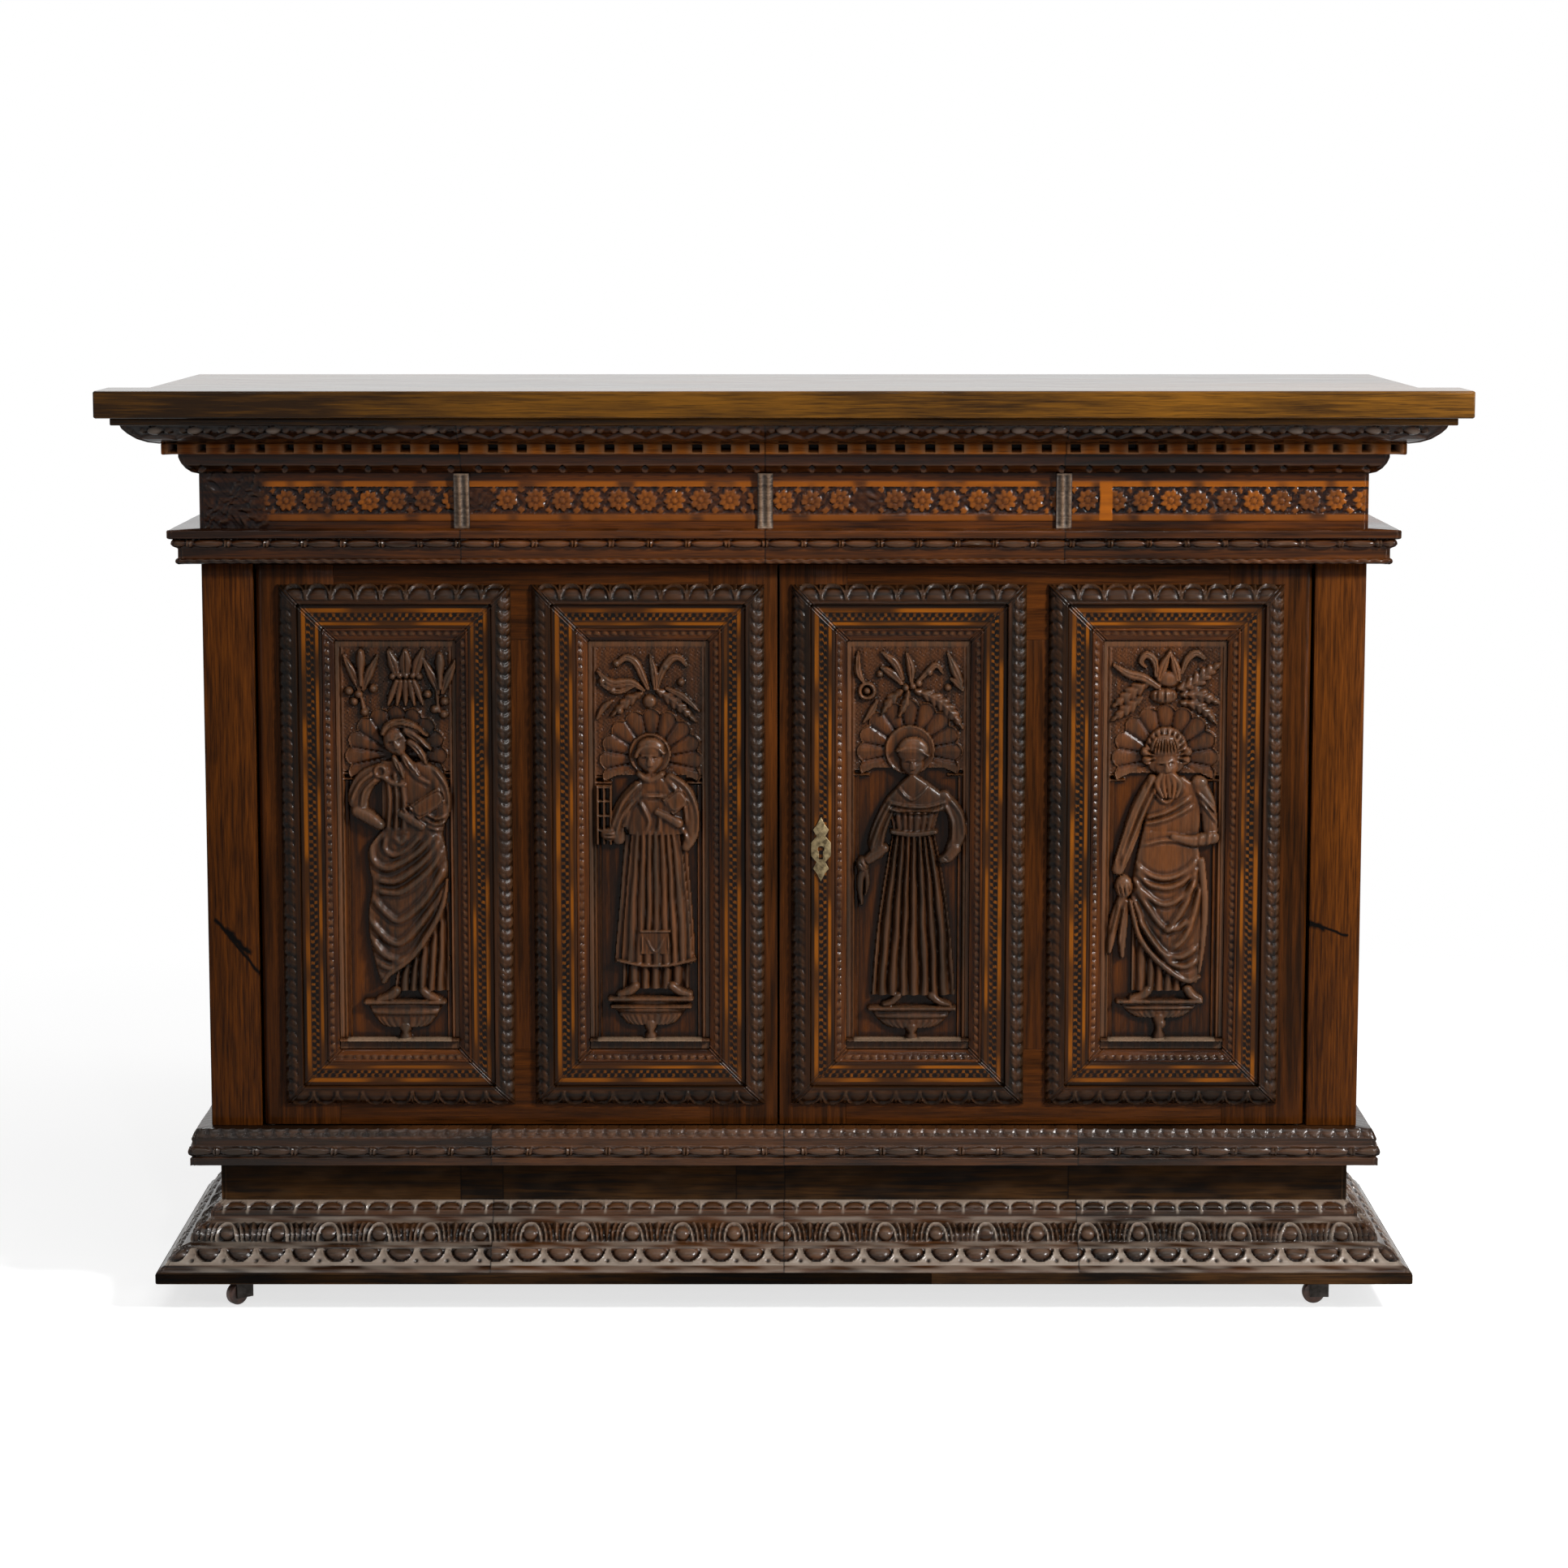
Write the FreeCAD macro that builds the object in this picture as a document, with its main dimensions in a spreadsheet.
"""Two-door carved walnut credenza on casters.

The frame has +X along the front, +Y towards the back and +Z up. The origin is on the floor, under the middle
of the top board. Mouldings are described by how far they stand out from the front plane of the posts.
"""
import FreeCAD, Part
import math
import os
import re
from types import SimpleNamespace

import Sketcher
from FreeCAD import Placement, Rotation, Vector

SIZES = {
    # Heights of the courses, from the floor up
    "caster_height": 38,
    "fascia_height": 15,
    "base_height": 75.7,
    "plinth_height": 51.9,
    "cap_height": 45.4,
    "doorway_height": 708.5,
    "waist_height": 42,
    "frieze_height": 67.8,
    "bed_height": 25.2,
    "dentil_height": 13.8,
    "crown_height": 23.9,
    "underboard_thickness": 9.1,
    "top_thickness": 33,
    # Plan of the carcase
    "post_span": 718,  # centre line to the outer face of a post
    "post_plane": 159,  # centre line to the front face of the posts
    "back_plane": 262,  # centre line to the back of the carcase
    "post_width": 63,
    "post_depth": 62,
    "rear_post_depth": 62,
    # Top board and what hangs under it
    "top_span": 829,
    "top_front": 270,
    "top_back": 270,
    "ear_depth": 107,  # front part of the top that is full width
    "top_rear_span": 778,
    "top_edge_round": 2.5,
    "underboard_span": 812,
    "underboard_front": 253,
    "underboard_rear_span": 772,
    # How far each course stands out from the post plane
    "crown_low_reach": 42,
    "crown_high_reach": 83,
    "crown_side_reach": 52,  # behind the ears
    "dentil_reach": 40,
    "dentil_depth": 13,
    "dentil_width": 24.5,
    "dentil_gap": 11,
    "bed_reach": 22,
    "bed_fillet": 4.2,
    "waist_reach": 36,
    "waist_low_reach": 24,
    "waist_fillet": 12,
    "waist_cove": 4,
    "cap_top_reach": 16,
    "cap_low_reach": 24,
    "cap_fillet": 12,
    "plinth_set_back": 10,
    "plinth_thickness": 22,
    "base_reach": 63,
    "fascia_reach": 65,
    # Frieze brackets
    "bracket_width": 25,
    "bracket_reach": 9,
    "bracket_toe_reach": 4,
    # Places of the butt joints along the front
    "upper_seam_left": -396,
    "upper_seam_middle": -23,
    "upper_seam_right": 344,
    "lower_seam_left": -366,
    "lower_seam_middle": 0,
    "lower_seam_right": 368,
    # Doors
    "door_thickness": 24,
    "door_gap_below": 2,
    "door_gap_above": 2.5,
    "door_gap_side": 3,
    "meeting_line": -7,
    "meeting_gap": 2.5,
    "stop_gap": 2,
    "left_hinge_show": 28,
    "left_muntin_show": 26,
    "left_meeting_show": 16,
    "right_hinge_show": 35,
    "right_muntin_show": 27,
    "right_meeting_show": 15,
    "rail_show_above": 25,
    "rail_show_below": 27,
    "hinge_edge_round": 9,  # also how far the pivot is in from the edge and the face
    "hinge_back_round": 4,
    # Mouldings planted round each carved panel
    "outer_width": 23.5,
    "outer_proud": 14,
    "inlay_width": 30,
    "inlay_proud": 8,
    "inner_width": 15,
    "inner_proud": 2,
    # Carved panels
    "panel_thickness": 14,
    "panel_sunk": 8,  # field below the face of the door frame
    "tongue_thickness": 6,
    "tongue_depth": 8,
    "tongue_set_back": 9,
    "relief_height": 12,
    "shell_radius": 60,
    "shell_height": 6,
    "head_radius": 17,
    "figure_width": 92,
    "figure_height": 290,
    "bowl_width": 105,
    "bowl_height": 32,
    "ledge_height": 12,
    "panel_border": 12.5,
    # Door joinery
    "tenon_length": 30,
    "tenon_thickness": 8,
    "tenon_height": 45,
    # Pivots
    "pivot_radius": 4,
    "pivot_clearance": 0.05,
    "pivot_in_door": 20,
    "pivot_reach": 12,  # into the carcase past the gap
    "socket_wall": 3,
    "socket_depth": 14,
    # Lock on the right door and its keeper on the left
    "lock_height": 578.5,
    "lock_length": 70,
    "lock_tall": 90,
    "lock_thickness": 20,
    "lock_set_back": 2,
    "bolt_tall": 16,
    "bolt_thick": 8,
    "bolt_length": 48,
    "bolt_rest": 1.5,  # tip behind the case's edge when withdrawn
    "slide_clearance": 0.4,
    "keeper_length": 26,
    "keeper_tall": 44,
    "keeper_wall": 4,
    "keyhole_offset": 51.5,  # from the door's meeting edge
    "plate_tall": 81,
    "plate_width": 25,
    "plate_thickness": 2.5,
    "keyhole_radius": 4,
    "keyhole_slot": 5,
    "keyhole_drop": 12.6,
    # Sliding bolt on the back of the left door
    "door_bolt_radius": 4,
    "door_bolt_length": 130,
    "door_bolt_stand": 7,  # axis behind the door's back
    "door_bolt_throw": 14,
    "door_bolt_rest": 4,  # tip under the rail when withdrawn
    "door_bolt_offset": 34,  # from the door's meeting edge
    "staple_width": 26,
    "staple_tall": 14,
    "bolt_plate_thickness": 2,
    "bolt_plate_tall": 120,
    # Inner structure
    "rail_thickness": 24,
    "stop_overlap": 10,
    "side_rail_thickness": 24,
    "side_set_back": 4,
    "side_rail_height": 70,
    "side_panel_thickness": 12,
    "back_thickness": 14,
    "back_board_count": 5,
    "bottom_thickness": 22,
    "brace_width": 60,
    "brace_count": 4,
    "stop_depth": 12,
    "shelf_height": 590,  # top face
    "shelf_thickness": 20,
    "shelf_set_back": 70,  # behind the front face of the posts
    "bearer_height": 24,
    "bearer_thickness": 14,
    # Casters
    "caster_side_inset": 39,  # swivel from the outer face of a post
    "caster_front_reach": 6,
    "caster_rear_inset": 62,
    "caster_plate": 46,
    "caster_plate_thickness": 3,
    "screw_radius": 1.8,
    "screw_head_radius": 3.2,
    "screw_head_height": 1.4,
    "screw_inset": 6,
    "crown_radius": 13,
    "crown_thickness": 5,
    "crown_play": 0.3,
    "stem_radius": 4,
    "stem_play": 0.3,
    "fork_wall": 2.5,
    "fork_play": 0.5,
    "wheel_radius": 14,
    "wheel_width": 11,
    "wheel_edge": 2,
    "axle_radius": 2.5,
    "caster_trail": 12,
    "overrun": 5,  # how far cuts pass the faces that they open
}

# The courses of the front in order, each with the size that gives its height.
COURSES = ["caster", "fascia", "base", "plinth", "cap", "doorway", "waist", "frieze", "bed", "dentil", "crown"]

# Which way each caster trails, in degrees about its swivel, as it happens to stand.
CASTER_HEADINGS = {"front_left": 40, "front_right": 0, "rear_left": 25, "rear_right": -20}

# Rises of the mouldings' arcs over their chords, then the steps of the base from its foot up.
HALF_SHARE = 0.5  # a half circle
CROWN_BELLY_SHARE = 0.13
BED_BELLY_SHARE = -0.15
BRACKET_BELLY_SHARE = -0.04
OUTER_BELLY_SHARE = -0.13
BASE_REACH_SHARES = [1, 0.877, 0.651, 0.479, 0.466, 0.214, 0.164, 0]
BASE_HEIGHT_SHARES = [0, 0.0925, 0.317, 0.396, 0.522, 0.7, 0.845, 1]

# Forms of the carved figure, its bowl and the escutcheon's half outline.
BOWL_FOOT_SHARE = 0.35
FIGURE_SHOULDER_SHARE = 0.82
FIGURE_NECK_SHARE = 0.93
FIGURE_WAIST_SHARE = 0.62
PLATE_LEVEL_SHARES = [0, 0.13, 0.2, 0.3, 0.4]
PLATE_WIDTH_SHARES = [0, 0.44, 0.8, 0.44, 1]

doc = FreeCAD.newDocument("credenza")
sheet = doc.addObject("Spreadsheet::Sheet", "Sizes")
for row, (alias, number) in enumerate(SIZES.items(), start=1):
    sheet.set(f"A{row}", alias)
    sheet.set(f"B{row}", str(number))
    sheet.setAlias(f"B{row}", alias)
doc.recompute()
d = SimpleNamespace(**{alias: float(sheet.get(alias)) for alias in SIZES})

finished = []


def level_rule(course):
    """Height of a course's underside, as a rule on the sheet."""
    return " + ".join(f"{name}_height" for name in COURSES[:COURSES.index(course)])


def level(course):
    """Height of a course's underside, in millimetres."""
    return sum(getattr(d, f"{name}_height") for name in COURSES[:COURSES.index(course)])


UNDERBOARD_RULE = f"{level_rule('crown')} + crown_height"
FRAME_FACE_RULE = "0 - post_plane + door_thickness + stop_gap"
FLOOR_DEPTH_RULE = "back_plane - back_thickness + post_plane - door_thickness - stop_gap"
underboard_level = level("crown") + d.crown_height
frame_depth = d.door_thickness + d.stop_gap


def bind(thing, rules):
    """Ties properties of an object to rules written in the sheet's own words."""
    for prop, rule in rules.items():
        thing.setExpression(prop, re.sub(r"[a-z]\w+", lambda word: "Sizes." + word.group(), rule))


def board(name, x, y, z, length, width, height):
    """A sawn board, whose place and size are six rules."""
    box = doc.addObject("Part::Box", name)
    bind(box, {"Placement.Base.x": x, "Placement.Base.y": y, "Placement.Base.z": z,
               "Length": length, "Width": width, "Height": height})
    return box


def keep(thing, label):
    """Names a finished sub-part, so that it is written out."""
    thing.Label = label
    finished.append(thing)
    return thing


def group(label, pieces):
    """One sub-part made of several separate pieces of the same kind."""
    bundle = doc.addObject("Part::Compound", label)
    bundle.Links = pieces
    return keep(bundle, label)


def carved(label, solids, place=None):
    """A sub-part whose shape is worked out here from the sheet's sizes."""
    feature = doc.addObject("Part::Feature", label)
    feature.Shape = solids[0] if len(solids) == 1 else Part.makeCompound(solids)
    if place is not None:
        feature.Placement = place
    return keep(feature, label)


def box_between(low, high):
    """A block between two corners."""
    low = Vector(*low)
    return Part.makeBox(*(Vector(*high) - low), low)


def rod(radius, low, high):
    """A round bar between two points."""
    low = Vector(*low)
    along = Vector(*high) - low
    return Part.makeCylinder(radius, along.Length, low, along)


def outline_face(points):
    """A flat face from (x, y) or (x, y, bulge) points, where bulge is the rise of an arc over its chord."""
    edges = []
    for here, there in zip(points, points[1:] + points[:1]):
        start, end = Vector(here[0], here[1]), Vector(there[0], there[1])
        if len(there) == 2:
            edges.append(Part.makeLine(start, end))
            continue
        chord = end - start
        crest = (start + end) / 2 + Vector(-chord.y, chord.x) * there[2]
        edges.append(Part.Arc(start, crest, end).toShape())
    return Part.Face(Part.Wire(edges))


def run(profile, start, end, mitre_start=False, mitre_end=False):
    """A length of moulding along X: the profile is (reach, height) with the reach towards -Y.

    A mitred end gets longer by the reach, so that two such ends meet on the diagonal.
    """
    face = outline_face(profile)
    face.rotate(Vector(), Vector(1, 1, 1), 120)
    face.rotate(Vector(), Vector(0, 0, 1), 180)
    reach = max(point[0] for point in profile) + d.overrun
    inner = min(point[0] for point in profile) - d.overrun
    top = max(point[1] for point in profile) + d.overrun
    bottom = min(point[1] for point in profile) - d.overrun
    face.translate(Vector(start - reach if mitre_start else start, 0, 0))
    length = end - start + reach * (mitre_start + mitre_end)
    solid = face.extrude(Vector(length, 0, 0))
    for place, side, wanted in ((start, -1, mitre_start), (end, 1, mitre_end)):
        if not wanted:
            continue
        far = place + side * (reach + d.overrun)
        waste = outline_face([(place + side * inner, -inner), (place + side * reach, -reach), (far, -reach),
                              (far, -inner)])
        waste.translate(Vector(0, 0, bottom))
        solid = solid.cut(waste.extrude(Vector(0, 0, top - bottom)))
    return solid


def seamed(profile, start, end, seams):
    """Butt-jointed lengths of a moulding, mitred at the two outer ends."""
    stops = [start, *seams, end]
    last = len(stops) - 2
    return [run(profile, low, high, index == 0, index == last)
            for index, (low, high) in enumerate(zip(stops, stops[1:]))]


def place_front(solid):
    """Puts a run on the front plane of the posts."""
    return solid.transformed(Placement(Vector(0, -d.post_plane, 0), Rotation()).Matrix)


def place_side(solid, side):
    """Puts a run on the outer plane of the left (-1) or right (+1) posts."""
    turn = Rotation(Vector(0, 0, 1), 90 * side)
    return solid.transformed(Placement(Vector(side * d.post_span, 0, 0), turn).Matrix)


def returns(profile, back, mitred=True, front=None):
    """The two side lengths of a course, from the front corner to a depth at the back."""
    front = -d.post_plane if front is None else front
    right = place_side(run(profile, front, back, mitred, False), 1)
    left = place_side(run(profile, -back, -front, False, mitred), -1)
    return [left, right]


def course(profile, seams):
    """A whole course: seamed lengths on the front and a return down each side."""
    front = [place_front(piece) for piece in seamed(profile, -d.post_span, d.post_span, seams)]
    return front + returns(profile, d.back_plane)


UPPER_SEAMS = [d.upper_seam_left, d.upper_seam_middle, d.upper_seam_right]
LOWER_SEAMS = [d.lower_seam_left, d.lower_seam_middle, d.lower_seam_right]


def sketch_outline(body, plane, points):
    """A closed sketch on one of the body's own planes, each corner tied to the sheet by two rules."""
    sketch = body.newObject("Sketcher::SketchObject", body.Name + "_outline")
    origin_plane = [part for part in body.Origin.OriginFeatures if part.Role == plane][0]
    sketch.AttachmentSupport = [(origin_plane, "")]
    sketch.MapMode = "FlatFace"
    count = len(points)
    unit = [Vector(math.cos(math.tau * index / count), math.sin(math.tau * index / count), 0)
            for index in range(count)]
    for index in range(count):
        sketch.addGeometry(Part.LineSegment(unit[index], unit[(index + 1) % count]))
    for index in range(count):
        sketch.addConstraint(Sketcher.Constraint("Coincident", index, 2, (index + 1) % count, 1))
    for index, (across, up) in enumerate(points):
        for kind, rule in (("DistanceX", across), ("DistanceY", up)):
            unit_value = unit[index].x if kind == "DistanceX" else unit[index].y
            number = sketch.addConstraint(Sketcher.Constraint(kind, -1, 1, index, 1, unit_value))
            sketch.renameConstraint(number, f"{kind}{index}")
            bind(sketch, {f"Constraints.{kind}{index}": rule})
    return sketch


def padded(name, points, thickness, height):
    """A body padded up from an outline in plan, standing at a height."""
    body = doc.addObject("PartDesign::Body", name)
    pad = body.newObject("PartDesign::Pad", name + "_pad")
    pad.Profile = sketch_outline(body, "XY_Plane", points)
    bind(pad, {"Length": thickness})
    bind(body, {"Placement.Base.z": height})
    doc.recompute()
    return body


def eared_outline(span, front, rear_span, back):
    """Plan of a top that is wide at its front ears and narrower behind them."""
    notch = "ear_depth - top_front"
    right = [(span, f"0 - {front}"), (span, notch), (rear_span, notch), (rear_span, back)]
    left = [(f"0 - {across}", up) for across, up in reversed(right)]
    return right + left


def build_top():
    """The top board with its rounded edges, and the thin board under it."""
    outline = eared_outline("top_span", "top_front", "top_rear_span", "top_back")
    top = padded("top_board", outline, "top_thickness", f"{UNDERBOARD_RULE} + underboard_thickness")
    slab = top.Tip
    rims = [f"Edge{index}" for index, edge in enumerate(slab.Shape.Edges, start=1)
            if edge.BoundBox.ZLength < d.top_edge_round]
    rounding = top.newObject("PartDesign::Fillet", "top_board_round")
    rounding.Base = (slab, rims)
    bind(rounding, {"Radius": "top_edge_round"})
    keep(top, "top_board")
    under = eared_outline("underboard_span", "underboard_front", "underboard_rear_span", "back_plane")
    keep(padded("underboard", under, "underboard_thickness", UNDERBOARD_RULE), "underboard")


def build_crown():
    """Cyma crown: full reach on the front and under the ears, less behind them."""
    low, high = level("crown"), underboard_level

    def profile(reach):
        return [(-frame_depth, low), (d.crown_low_reach, low), (reach, high, -CROWN_BELLY_SHARE),
                (-frame_depth, high)]

    ear_end = d.ear_depth - d.top_front
    pieces = [place_front(piece) for piece in
              seamed(profile(d.crown_high_reach), -d.post_span, d.post_span, UPPER_SEAMS)]
    pieces += returns(profile(d.crown_high_reach), ear_end)
    pieces += returns(profile(d.crown_side_reach), d.back_plane, mitred=False, front=ear_end)
    carved("crown_moulding", pieces)


def build_dentils():
    """A square course with saw-cut gaps that leave the dentils standing."""
    low = level("dentil")
    high = low + d.dentil_height
    profile = [(-frame_depth, low), (d.dentil_reach, low), (d.dentil_reach, high), (-frame_depth, high)]
    pitch = d.dentil_width + d.dentil_gap
    floor_reach = d.dentil_reach - d.dentil_depth
    front_edge = d.post_span + d.dentil_reach
    gaps = []
    count = int((2 * front_edge - d.dentil_width) / pitch)
    for index in range(count):
        middle = (index - (count - 1) / 2) * pitch
        near, far = middle - d.dentil_gap / 2, middle + d.dentil_gap / 2
        gaps.append(box_between((near, -d.post_plane - d.dentil_reach - d.overrun, low),
                                (far, -d.post_plane - floor_reach, high)))
    side_count = int((d.back_plane + d.post_plane + d.dentil_reach - d.dentil_width) / pitch)
    for index in range(side_count):
        start = -d.post_plane - d.dentil_reach + d.dentil_width + index * pitch
        for side in (-1, 1):
            across = sorted((side * (d.post_span + floor_reach), side * (front_edge + d.overrun)))
            gaps.append(box_between((across[0], start, low), (across[1], start + d.dentil_gap, high)))
    waste = Part.makeCompound(gaps)
    carved("dentil_course", [piece.cut(waste) for piece in course(profile, UPPER_SEAMS)])


def build_upper_courses():
    """Bed moulding, inlaid frieze boards with their brackets, and the waist moulding over the doors."""
    low, high = level("bed"), level("dentil")
    neck = high - d.bed_fillet
    carved("bed_moulding", course([(-frame_depth, low), (0, low), (d.bed_reach, neck, BED_BELLY_SHARE),
                                   (d.bed_reach, high), (-frame_depth, high)], UPPER_SEAMS))
    low, high = level("frieze"), level("bed")
    frieze = [(-frame_depth, low), (0, low), (0, high), (-frame_depth, high)]
    carved("frieze_boards", course(frieze, UPPER_SEAMS))
    bracket = [(0, low), (d.bracket_toe_reach, low), (d.bracket_reach, high, BRACKET_BELLY_SHARE), (0, high)]
    half = d.bracket_width / 2
    carved("frieze_brackets", [place_front(run(bracket, seam - half, seam + half)) for seam in UPPER_SEAMS])
    low, high = level("waist"), level("frieze")
    cove = high - d.waist_fillet - d.waist_cove
    waist = course([(-frame_depth, low), (d.waist_low_reach, low), (d.waist_low_reach, cove),
                    (d.waist_reach, high - d.waist_fillet), (d.waist_reach, high), (-frame_depth, high)],
                   UPPER_SEAMS)
    carved("waist_moulding", [piece.cut(pivot_holes(low, 1)) for piece in waist])


def build_lower_courses():
    """Cap moulding under the doors, plinth boards, the stepped base moulding and the flat fascia below it."""
    low, high = level("cap"), level("doorway")
    cap = course([(-frame_depth, low), (d.cap_low_reach, low), (d.cap_low_reach, high - d.cap_fillet),
                  (d.cap_top_reach, high), (-frame_depth, high)], LOWER_SEAMS)
    carved("cap_moulding", [piece.cut(pivot_holes(high, -1)) for piece in cap])
    face, inner = -d.plinth_set_back, -d.plinth_set_back - d.plinth_thickness
    low, high = level("fascia"), level("cap")
    plinth = course([(inner, low), (face, low), (face, high), (inner, high)], LOWER_SEAMS)
    rear = box_between((-d.post_span - inner, d.back_plane - d.plinth_thickness, low),
                       (d.post_span + inner, d.back_plane, high))
    carved("plinth_boards", plinth + [rear])
    low = level("base")
    spread = d.base_reach - face
    steps = [(face + reach * spread, low + rise * d.base_height)
             for reach, rise in zip(BASE_REACH_SHARES, BASE_HEIGHT_SHARES)]
    carved("base_moulding", course([(face, low), *steps], LOWER_SEAMS))
    floor = level("fascia")
    carved("base_fascia", course([(face, floor), (d.fascia_reach, floor), (d.fascia_reach, low), (face, low)],
                                 LOWER_SEAMS))


def pivot_place(side):
    """Plan place of a door's pivot: left is -1 and right is +1."""
    return side * (door_span - d.hinge_edge_round), d.hinge_edge_round - d.post_plane


def pivot_holes(height, way):
    """Seats for the pivot sockets, bored up (+1) or down (-1) from a height."""
    seats = [rod(d.pivot_radius + d.pivot_clearance + d.socket_wall, (*pivot_place(side), height),
                 (*pivot_place(side), height + way * d.socket_depth)) for side in (-1, 1)]
    return Part.makeCompound(seats)


def build_sockets():
    """Four brass bushes that the doors' pivots turn in."""
    sockets = []
    bore = d.pivot_radius + d.pivot_clearance
    for height, way in ((level("waist"), 1), (level("doorway"), -1)):
        for side in (-1, 1):
            ends = (*pivot_place(side), height), (*pivot_place(side), height + way * d.socket_depth)
            sockets.append(rod(bore + d.socket_wall, *ends).cut(rod(bore, *ends)))
    carved("pivot_sockets", sockets)


def build_posts():
    """Front and rear posts: full width beside the doors, reduced behind the waist and the frieze."""
    doorway, waist = level_rule("doorway"), level_rule("waist")
    upper = f"{UNDERBOARD_RULE} - ({waist})"
    depth = "door_thickness + stop_gap"
    for label, fore, back_depth, upper_fore, upper_depth in (
            ("front_post", "0 - post_plane", "post_depth", FRAME_FACE_RULE, f"post_depth - ({depth})"),
            ("rear_post", "back_plane - rear_post_depth", "rear_post_depth", "back_plane - rear_post_depth",
             "rear_post_depth")):
        posts = []
        for hand, outer, reduced in (("left", "0 - post_span", f"0 - post_span + {depth}"),
                                     ("right", "post_span - post_width", "post_span - post_width")):
            name = f"{hand}_{label}"
            lower_part = board(name + "_lower", outer, fore, doorway, "post_width", back_depth,
                               "doorway_height")
            upper_part = board(name + "_upper", reduced, upper_fore, waist, f"post_width - ({depth})",
                               upper_depth, upper)
            post = doc.addObject("Part::Fuse", name)
            post.Base, post.Tool = lower_part, upper_part
            posts.append(post)
        group(label + "s", posts)


def build_carcase():
    """Rails, panels and boards that the mouldings hide."""
    inner = "post_span - post_width"
    stop = f"{level_rule('waist')} - stop_overlap"
    rail_height = f"{UNDERBOARD_RULE} - ({stop})"
    between = "2 * (post_span - post_width)"
    side_start = "post_depth - post_plane"
    side_length = "back_plane - rear_post_depth + post_plane - post_depth"
    over = f"{UNDERBOARD_RULE} - ({level_rule('waist')})"
    hidden = "post_span - door_thickness - stop_gap - rail_thickness"
    front_rail = doc.addObject("Part::Cut", "front_top_rail")
    front_rail.Base = board("front_top_rail_board", f"0 - ({inner})", FRAME_FACE_RULE, stop, between,
                            "rail_thickness", rail_height)
    front_rail.Tool = bolt_hole()
    group("top_rails", [
        front_rail,
        board("rear_top_rail", f"0 - ({inner})", "back_plane - back_thickness - rail_thickness", stop, between,
              "rail_thickness", rail_height),
        board("left_top_rail", f"0 - ({hidden}) - rail_thickness", side_start, level_rule("waist"),
              "rail_thickness", side_length, over),
        board("right_top_rail", hidden, side_start, level_rule("waist"), "rail_thickness", side_length, over)])
    side_face = "post_span - side_set_back - side_rail_thickness"
    panel_face = "post_span - side_set_back - side_rail_thickness / 2 - side_panel_thickness / 2"
    rails, panels = [], []
    for hand, near, panel_near in (("left", f"0 - ({side_face}) - side_rail_thickness",
                                    f"0 - ({panel_face}) - side_panel_thickness"),
                                   ("right", side_face, panel_face)):
        for name, height in (("lower", level_rule("doorway")),
                             ("upper", f"{level_rule('waist')} - side_rail_height")):
            rails.append(board(f"{hand}_{name}_side_rail", near, side_start, height, "side_rail_thickness",
                               side_length, "side_rail_height"))
        panels.append(board(f"{hand}_side_panel", panel_near, side_start,
                            f"{level_rule('doorway')} + side_rail_height", "side_panel_thickness", side_length,
                            "doorway_height - 2 * side_rail_height"))
    group("side_rails", rails)
    group("side_panels", panels)
    backs = []
    count = int(d.back_board_count)
    for index in range(count):
        backs.append(board(f"back_board_{index + 1}",
                           f"0 - ({inner}) + {index} * ({between}) / back_board_count",
                           "back_plane - back_thickness", level_rule("cap"), f"({between}) / back_board_count",
                           "back_thickness", f"{UNDERBOARD_RULE} - ({level_rule('cap')})"))
    group("back_boards", backs)
    bottom_span = "post_span - door_thickness - stop_gap"
    keep(board("bottom_board", f"0 - ({bottom_span})", FRAME_FACE_RULE,
               f"{level_rule('doorway')} - bottom_thickness", f"2 * ({bottom_span})",
               FLOOR_DEPTH_RULE, "bottom_thickness"), "bottom_board")
    build_braces()
    shelf_back = "back_plane - rear_post_depth"
    keep(board("shelf", f"0 - ({side_face})", "shelf_set_back - post_plane", "shelf_height - shelf_thickness",
               f"2 * ({side_face})", f"{shelf_back} - shelf_set_back + post_plane",
               "shelf_thickness"), "shelf")
    bearer_z = "shelf_height - shelf_thickness - bearer_height"
    bearer_x = f"{panel_face} - bearer_thickness"
    group("inner_battens", [
        board("left_bearer", f"0 - ({bearer_x}) - bearer_thickness", side_start, bearer_z, "bearer_thickness",
              side_length, "bearer_height"),
        board("right_bearer", bearer_x, side_start, bearer_z, "bearer_thickness", side_length,
              "bearer_height"),
        board("door_stop", f"0 - ({inner})", FRAME_FACE_RULE, level_rule("doorway"), between, "stop_depth",
              "door_gap_below + stop_overlap")])


def build_braces():
    """Corner blocks behind the plinth and the cross bearers that carry the bottom board."""
    inside = "post_span - plinth_set_back - plinth_thickness"
    front = "plinth_set_back + plinth_thickness - post_plane"
    rear = "back_plane - plinth_thickness"
    low = level_rule("fascia")
    tall = f"{level_rule('cap')} - ({low})"
    pieces = []
    for hand, near in (("left", f"0 - ({inside})"), ("right", f"{inside} - brace_width")):
        for end, start in (("front", front), ("rear", f"{rear} - brace_width")):
            pieces.append(board(f"{end}_{hand}_block", near, start, low, "brace_width", "brace_width", tall))
    count = int(d.brace_count)
    for index in range(count):
        share = index / (count - 1)
        pieces.append(board(f"bearer_{index + 1}",
                            f"0 - ({inside}) + {share} * (2 * ({inside}) - brace_width)", FRAME_FACE_RULE,
                            level_rule("cap"), "brace_width", FLOOR_DEPTH_RULE,
                            "cap_height - bottom_thickness"))
    group("plinth_braces", pieces)


door_span = d.post_span - d.post_width - d.door_gap_side
door_low = level("doorway") + d.door_gap_below
door_high = level("waist") - d.door_gap_above
door_face = -d.post_plane
door_back = door_face + d.door_thickness
cover = d.outer_width + d.inlay_width + d.inner_width


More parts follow.
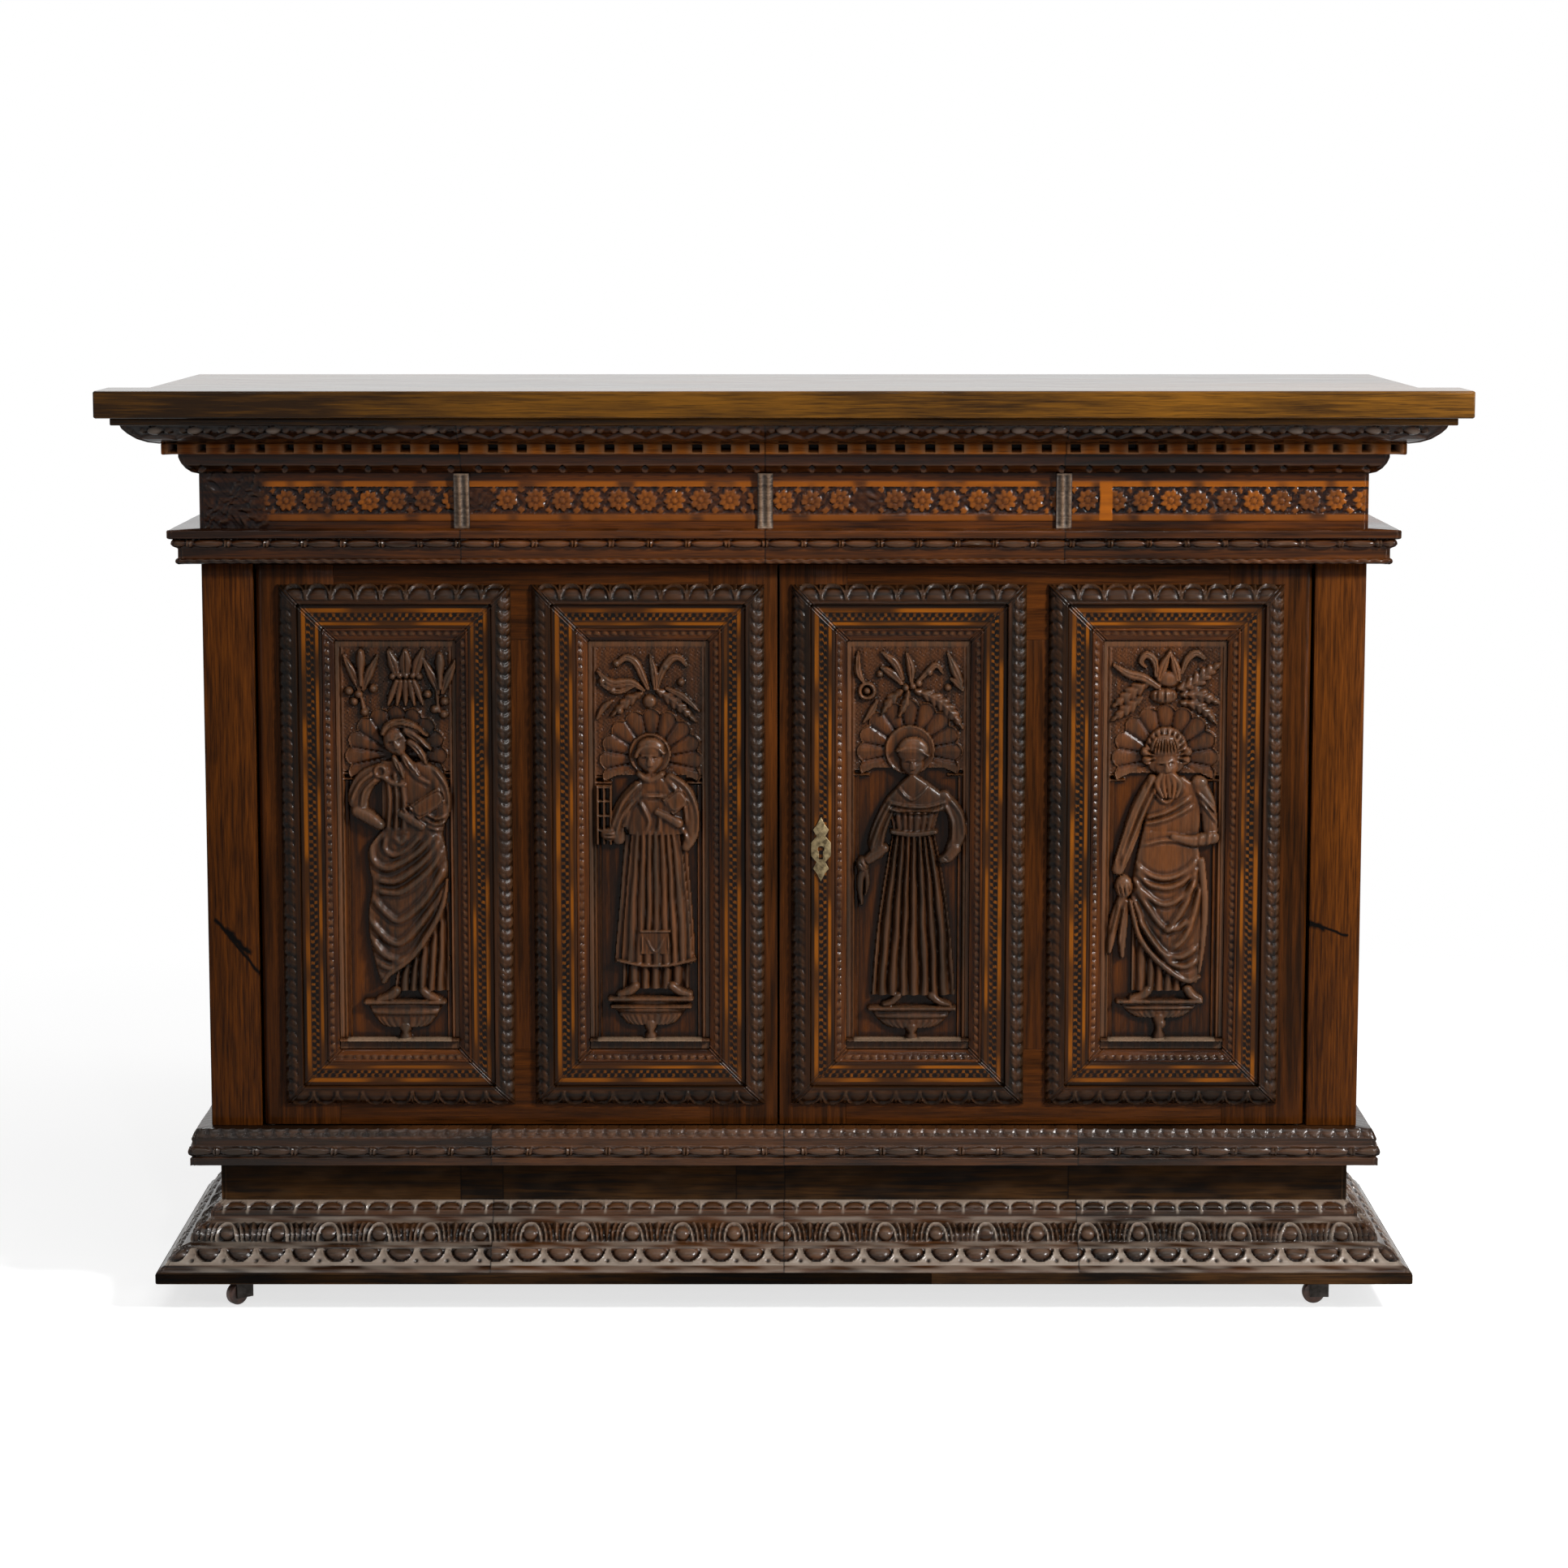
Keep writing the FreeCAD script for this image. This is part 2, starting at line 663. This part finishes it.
class Door:
    """One door: widths are measured from its hinge edge towards the other door."""

    def __init__(self, hand, side, first_panel):
        self.hand, self.side, self.first_panel = hand, side, first_panel
        self.width = door_span + side * -d.meeting_line - d.meeting_gap / 2
        self.hinge_show = getattr(d, f"{hand}_hinge_show")
        self.muntin_show = getattr(d, f"{hand}_muntin_show")
        self.meeting_show = getattr(d, f"{hand}_meeting_show")
        self.frame_width = (self.width - self.hinge_show - self.muntin_show - self.meeting_show) / 2
        self.hinge_stile = self.hinge_show + cover
        self.meeting_stile = self.width - self.meeting_show - cover
        self.opening = self.frame_width - 2 * cover
        self.muntin = self.hinge_stile + self.opening
        self.second = self.muntin + self.muntin_show + 2 * cover
        self.opening_low = door_low + d.rail_show_below + cover
        self.opening_high = door_high - d.rail_show_above - cover
        self.pivot = pivot_place(side)

    def block(self, near, far, low, high, front=door_face, back=door_back):
        """A block of the door between two widths, two heights and two depths."""
        across = sorted((self.side * (door_span - near), self.side * (door_span - far)))
        return box_between((across[0], front, low), (across[1], back, high))

    def panel_starts(self):
        """Widths where the two panel openings start."""
        return self.hinge_stile, self.second

    def panel_middle(self, start):
        """The X of the middle of a panel opening."""
        return self.side * (door_span - start - self.opening / 2)

    def grooves(self):
        """The tongues of both panels, which are also the grooves that hold them."""
        front = door_face + d.tongue_set_back
        return [self.block(start - d.tongue_depth, start + self.opening + d.tongue_depth,
                           self.opening_low - d.tongue_depth, self.opening_high + d.tongue_depth,
                           front, front + d.tongue_thickness) for start in self.panel_starts()]

    def tenons(self):
        """Tenons of the rails, as pairs at the top and at the bottom."""
        front = door_face + (d.door_thickness - d.tenon_thickness) / 2
        back = front + d.tenon_thickness
        pairs = []
        for low, high in ((door_low, self.opening_low), (self.opening_high, door_high)):
            middle = (low + high) / 2
            foot, head = middle - d.tenon_height / 2, middle + d.tenon_height / 2
            pairs.append([self.block(near, far, foot, head, front, back)
                          for near, far in ((self.hinge_stile - d.tenon_length, self.hinge_stile),
                                            (self.meeting_stile, self.meeting_stile + d.tenon_length))])
        return pairs

    def muntin_tenons(self):
        """Tenons of the muntin, lower and upper."""
        front = door_face + (d.door_thickness - d.tenon_thickness) / 2
        middle = (self.muntin + self.second) / 2
        near, far = middle - d.tenon_height / 2, middle + d.tenon_height / 2
        back = front + d.tenon_thickness
        return [self.block(near, far, self.opening_low - d.tenon_length, self.opening_low, front, back),
                self.block(near, far, self.opening_high, self.opening_high + d.tenon_length, front, back)]

    def pins(self):
        """The two pivot pins, standing out of the door's ends."""
        x, y = self.pivot
        return [rod(d.pivot_radius, (x, y, door_low + d.pivot_in_door),
                    (x, y, level("doorway") - d.pivot_reach)),
                rod(d.pivot_radius, (x, y, door_high - d.pivot_in_door),
                    (x, y, level("waist") + d.pivot_reach))]

    def build_frame(self):
        """Stiles, rails and muntin, tenoned together and grooved for the panels."""
        grooves, tenons, muntin_tenons = self.grooves(), self.tenons(), self.muntin_tenons()
        waste = Part.makeCompound(grooves + tenons[0] + tenons[1])
        hinge = self.block(0, self.hinge_stile, door_low, door_high)
        edge = self.side * door_span
        for front, radius in ((door_face, d.hinge_edge_round), (door_back, d.hinge_back_round)):
            middles = [(side, side.CenterOfMass) for side in hinge.Edges]
            corner = [side for side, middle in middles
                      if abs(middle.x - edge) + abs(middle.y - front) < d.pivot_clearance]
            hinge = hinge.makeFillet(radius, corner)
        carved(f"{self.hand}_hinge_stile", [hinge.cut(waste).cut(Part.makeCompound(self.pins()))])
        meeting = self.block(self.meeting_stile, self.width, door_low, door_high)
        carved(f"{self.hand}_meeting_stile", [meeting.cut(waste)])
        muntin = self.block(self.muntin, self.second, self.opening_low, self.opening_high)
        carved(f"{self.hand}_muntin", [muntin.cut(Part.makeCompound(grooves)).multiFuse(muntin_tenons)])
        rails = []
        for (low, high), pair in zip(((door_low, self.opening_low), (self.opening_high, door_high)), tenons):
            rail = self.block(self.hinge_stile, self.meeting_stile, low, high)
            rails.append(rail.cut(Part.makeCompound(grooves + muntin_tenons)).multiFuse(pair))
        carved(f"{self.hand}_rails", rails)
        carved(f"{self.hand}_pivots", self.pins())

    def frames(self, profile, inset):
        """Four mitred runs round each panel; the profile's reach starts at an inset from the opening."""
        half_width = self.opening / 2 + inset
        half_height = (self.opening_high - self.opening_low) / 2 + inset
        middle_height = (self.opening_high + self.opening_low) / 2
        pieces = []
        for start in self.panel_starts():
            centre = Vector(self.panel_middle(start), door_face, middle_height)
            for quarter in range(4):
                along, out = (half_width, half_height) if quarter % 2 == 0 else (half_height, half_width)
                turn = Rotation(Vector(1, 0, 0), 90).multiply(Rotation(Vector(0, 0, 1), 90 * quarter))
                spot = Placement(centre, turn).multiply(Placement(Vector(0, -out, 0), Rotation()))
                pieces.append(run(profile, -along, along, True, True).transformed(spot.Matrix))
        return pieces

    def build_mouldings(self):
        """Inner moulding, inlaid band and outer moulding, one outside the other round each panel."""
        inner = [(0, 0), (d.inner_width, 0), (d.inner_width, d.inlay_proud), (0, d.inner_proud)]
        carved(f"{self.hand}_inner_mouldings", self.frames(inner, 0))
        band = [(0, 0), (d.inlay_width, 0), (d.inlay_width, d.inlay_proud), (0, d.inlay_proud)]
        carved(f"{self.hand}_inlay_bands", self.frames(band, d.inner_width))
        outer = [(0, 0), (d.outer_width, 0), (0, d.outer_proud, OUTER_BELLY_SHARE)]
        carved(f"{self.hand}_outer_mouldings", self.frames(outer, d.inner_width + d.inlay_width))

    def build_panels(self):
        """Carved panels: a tongued board with a shell niche, a robed figure, a bowl and a ledge."""
        starts = self.panel_starts() if self.side < 0 else reversed(self.panel_starts())
        tongues = self.grooves() if self.side < 0 else list(reversed(self.grooves()))
        for number, (start, tongue) in enumerate(zip(starts, tongues), start=self.first_panel):
            front = door_face + d.panel_sunk
            field = self.block(start, start + self.opening, self.opening_low, self.opening_high, front,
                               front + d.panel_thickness)
            relief = panel_relief(self.panel_middle(start), front, self.opening_low + d.panel_border,
                                  self.opening / 2 - d.panel_border)
            carved(f"carved_panel_{number}", [field.multiFuse([tongue, *relief])])


def raised(points, front, height):
    """A flat form standing out from the panel's field, from (x, z) points."""
    face = outline_face(points)
    face.rotate(Vector(), Vector(1, 0, 0), 90)
    face.translate(Vector(0, front, 0))
    return face.extrude(Vector(0, -height, 0))


def panel_relief(middle, front, low, half):
    """The main masses of the carving, from the ledge up."""
    ledge_top = low + d.ledge_height
    bowl_top = ledge_top + d.bowl_height
    foot = d.bowl_width * BOWL_FOOT_SHARE / 2
    bowl_half = d.bowl_width / 2
    hem = d.figure_width / 2
    tall = d.figure_height
    shoulder = bowl_top + tall * FIGURE_SHOULDER_SHARE
    neck = bowl_top + tall * FIGURE_NECK_SHARE
    waist = bowl_top + tall * FIGURE_WAIST_SHARE
    head = bowl_top + tall
    niche = min(d.shell_radius, half)
    ledge = raised([(middle - half, low), (middle + half, low), (middle + half, ledge_top),
                    (middle - half, ledge_top)], front, d.relief_height)
    bowl = raised([(middle - foot, ledge_top), (middle + foot, ledge_top), (middle + bowl_half, bowl_top),
                   (middle - bowl_half, bowl_top)], front, d.relief_height)
    arm, hip = hem * FIGURE_SHOULDER_SHARE, hem * FIGURE_WAIST_SHARE
    robe = raised([(middle - hem, bowl_top), (middle + hem, bowl_top), (middle + hip, waist),
                   (middle + arm, shoulder), (middle, neck), (middle - arm, shoulder), (middle - hip, waist)],
                  front, d.relief_height)
    skull = rod(d.head_radius, (middle, front, head), (middle, front - d.relief_height, head))
    shell = raised([(middle - niche, head, -HALF_SHARE), (middle + niche, head)], front, d.shell_height)
    return [ledge, bowl, robe, skull, shell]


def build_lock(right, left):
    """Rim lock, its bolt and escutcheon on the right door, and the keeper on the left door."""
    edge = right.side * (door_span - right.width)
    low, high = d.lock_height - d.lock_tall / 2, d.lock_height + d.lock_tall / 2
    near = edge + d.lock_set_back
    lock_back = door_back + d.lock_thickness
    case = box_between((near, door_back, low), (near + d.lock_length, lock_back, high))
    middle = door_back + d.lock_thickness / 2
    tip = near + d.bolt_rest
    tail = tip + d.bolt_length

    def bolt_block(start, end, play):
        half_thick, half_tall = d.bolt_thick / 2 + play, d.bolt_tall / 2 + play
        return box_between((start, middle - half_thick, d.lock_height - half_tall),
                           (end, middle + half_thick, d.lock_height + half_tall))

    channel = bolt_block(near - d.overrun, tail + d.slide_clearance, d.slide_clearance)
    carved("lock_case", [case.cut(channel)])
    carved("lock_bolt", [bolt_block(tip, tail, 0)])
    rim = left.side * (door_span - left.width)
    mouth = rim - d.lock_set_back
    heel = mouth - d.keeper_length
    keeper = box_between((heel, door_back, d.lock_height - d.keeper_tall / 2),
                         (mouth, lock_back, d.lock_height + d.keeper_tall / 2))
    carved("lock_keeper", [keeper.cut(bolt_block(heel + d.keeper_wall, rim, d.slide_clearance))])
    build_escutcheon(edge + d.keyhole_offset)


def build_escutcheon(x):
    """Pointed brass plate with a keyhole, lying on the inlaid band."""
    front = door_face - d.inlay_proud
    flank = [(share * d.plate_width / 2, (rise - HALF_SHARE) * d.plate_tall)
             for share, rise in zip(PLATE_WIDTH_SHARES, PLATE_LEVEL_SHARES)]
    right_side = flank + [(across, -up) for across, up in reversed(flank)]
    left_side = [(-across, up) for across, up in reversed(right_side[1:-1])]
    points = [(x + across, d.lock_height + up) for across, up in right_side + left_side]
    plate = raised(points, front, d.plate_thickness)
    hole = rod(d.keyhole_radius, (x, front, d.lock_height), (x, front - d.plate_thickness, d.lock_height))
    slot = box_between((x - d.keyhole_slot / 2, front - d.plate_thickness, d.lock_height - d.keyhole_drop),
                       (x + d.keyhole_slot / 2, front, d.lock_height))
    carved("escutcheon", [plate.cut(hole).cut(slot)])


def build_door_bolt(left):
    """Upright bolt on the back of the left door, held by a plate with two staples."""
    x = left.side * (door_span - left.width + d.door_bolt_offset)
    y = door_back + d.door_bolt_stand
    tip = level("waist") - d.stop_overlap - d.door_bolt_rest
    foot = tip - d.door_bolt_length
    carved("door_bolt", [rod(d.door_bolt_radius, (x, y, foot), (x, y, tip))])
    plate_top = tip - d.door_bolt_throw
    half = d.staple_width / 2
    plate = box_between((x - half, door_back, plate_top - d.bolt_plate_tall),
                        (x + half, door_back + d.bolt_plate_thickness, plate_top))
    depth = 2 * d.door_bolt_stand
    staples = [box_between((x - half, door_back, low), (x + half, door_back + depth, low + d.staple_tall))
               for low in (plate_top - d.bolt_plate_tall, plate_top - d.staple_tall)]
    bore = rod(d.door_bolt_radius + d.pivot_clearance, (x, y, foot - d.overrun), (x, y, tip + d.overrun))
    carved("door_bolt_plate", [plate.multiFuse(staples).cut(bore)])


def bolt_hole():
    """The hole in the front top rail that takes the left door's bolt."""
    hole = doc.addObject("Part::Cylinder", "door_bolt_hole")
    bind(hole, {"Radius": "door_bolt_radius + slide_clearance", "Height": "door_bolt_throw",
                "Placement.Base.x": "meeting_line - meeting_gap / 2 - door_bolt_offset",
                "Placement.Base.y": "door_thickness + door_bolt_stand - post_plane",
                "Placement.Base.z": f"{level_rule('waist')} - stop_overlap"})
    return hole


def caster_places():
    """Name, plan place and heading of each caster."""
    for name, heading in CASTER_HEADINGS.items():
        span = d.post_span - d.caster_side_inset
        x = span if name.endswith("right") else -span
        front = -d.post_plane - d.caster_front_reach
        rear = d.back_plane - d.caster_rear_inset
        y = front if name.startswith("front") else rear
        yield name, x, y, heading


def build_casters():
    """Plates and screws under the base, and a fork with its axle and wheel at each corner."""
    plates, screws = [], []
    half = d.caster_plate / 2
    plate_low = d.caster_height - d.caster_plate_thickness
    stem_bore = d.stem_radius + d.pivot_clearance
    for name, x, y, heading in caster_places():
        plate = box_between((x - half, y - half, plate_low), (x + half, y + half, d.caster_height))
        plate = plate.cut(rod(stem_bore, (x, y, plate_low), (x, y, d.caster_height)))
        for across in (-1, 1):
            for along in (-1, 1):
                spot = (x + across * (half - d.screw_inset), y + along * (half - d.screw_inset))
                shank = rod(d.screw_radius, (*spot, plate_low), (*spot, d.caster_height))
                plate = plate.cut(shank)
                head = rod(d.screw_head_radius, (*spot, plate_low - d.screw_head_height), (*spot, plate_low))
                screws.append(shank.fuse(head))
        plates.append(plate)
        turn = Placement(Vector(x, y, 0), Rotation(Vector(0, 0, 1), heading))
        carved(f"caster_fork_{name}", caster_fork(), turn)
        build_wheel(name, turn)
    carved("caster_plates", plates)
    carved("caster_screws", screws)


def caster_fork():
    """Crown, stem and two cheeks in one piece, and the axle between the cheeks; the wheel trails along -X."""
    crown_top = d.caster_height - d.caster_plate_thickness - d.crown_play
    crown_low = crown_top - d.crown_thickness
    crown = rod(d.crown_radius, (0, 0, crown_low), (0, 0, crown_top))
    stem = rod(d.stem_radius, (0, 0, crown_low), (0, 0, d.caster_height - d.stem_play))
    near = d.wheel_width / 2 + d.fork_play
    far = near + d.fork_wall
    hub, boss = d.wheel_radius, 2 * d.axle_radius
    axle = rod(d.axle_radius, (-d.caster_trail, -far, hub), (-d.caster_trail, far, hub))
    cheeks = []
    for side in (-1, 1):
        y = sorted((side * near, side * far))
        cheek = box_between((-d.caster_trail - boss, y[0], hub - boss), (d.crown_radius / 2, y[1], crown_low))
        cheeks.append(cheek.cut(axle))
    return [crown.multiFuse([stem, *cheeks]), axle]


def build_wheel(name, turn):
    """A small wheel with eased edges, turned about its axle."""
    half, bore = "wheel_width / 2", "axle_radius + pivot_clearance"
    edge = "wheel_width / 2 - wheel_edge"
    shoulder = "wheel_radius - wheel_edge"
    points = [(f"0 - {half}", bore), (half, bore), (half, shoulder), (edge, "wheel_radius"),
              (f"0 - ({edge})", "wheel_radius"), (f"0 - {half}", shoulder)]
    body = doc.addObject("PartDesign::Body", f"caster_wheel_{name}")
    sketch = sketch_outline(body, "XY_Plane", points)
    turning = body.newObject("PartDesign::Revolution", f"caster_wheel_{name}_turned")
    turning.Profile = sketch
    turning.ReferenceAxis = (sketch, ["H_Axis"])
    full_turn = 360
    turning.Angle = full_turn
    seat = Placement(Vector(-d.caster_trail, 0, d.wheel_radius), Rotation(Vector(0, 0, 1), 90))
    body.Placement = turn.multiply(seat)
    keep(body, f"caster_wheel_{name}")


def write_out():
    """Checks every object, then writes one file for each sub-part."""
    doc.recompute()
    failed = [thing.Name for thing in doc.Objects if {"Invalid", "Error"} & set(thing.State)]
    failed += [thing.Label for thing in finished if thing.Shape.isNull() or not thing.Shape.isValid()]
    if failed:
        raise RuntimeError("not built: " + ", ".join(failed))
    os.makedirs("parts", exist_ok=True)
    for thing in finished:
        thing.Shape.exportStep(f"parts/{thing.Label}.step")
    print(len(finished), "sub-parts written")


build_top()
build_crown()
build_dentils()
build_upper_courses()
build_lower_courses()
build_sockets()
build_posts()
build_carcase()
left_door = Door("left", -1, 1)
right_door = Door("right", 1, 3)
for door in (left_door, right_door):
    door.build_frame()
    door.build_mouldings()
    door.build_panels()
build_lock(right_door, left_door)
build_door_bolt(left_door)
build_casters()
write_out()
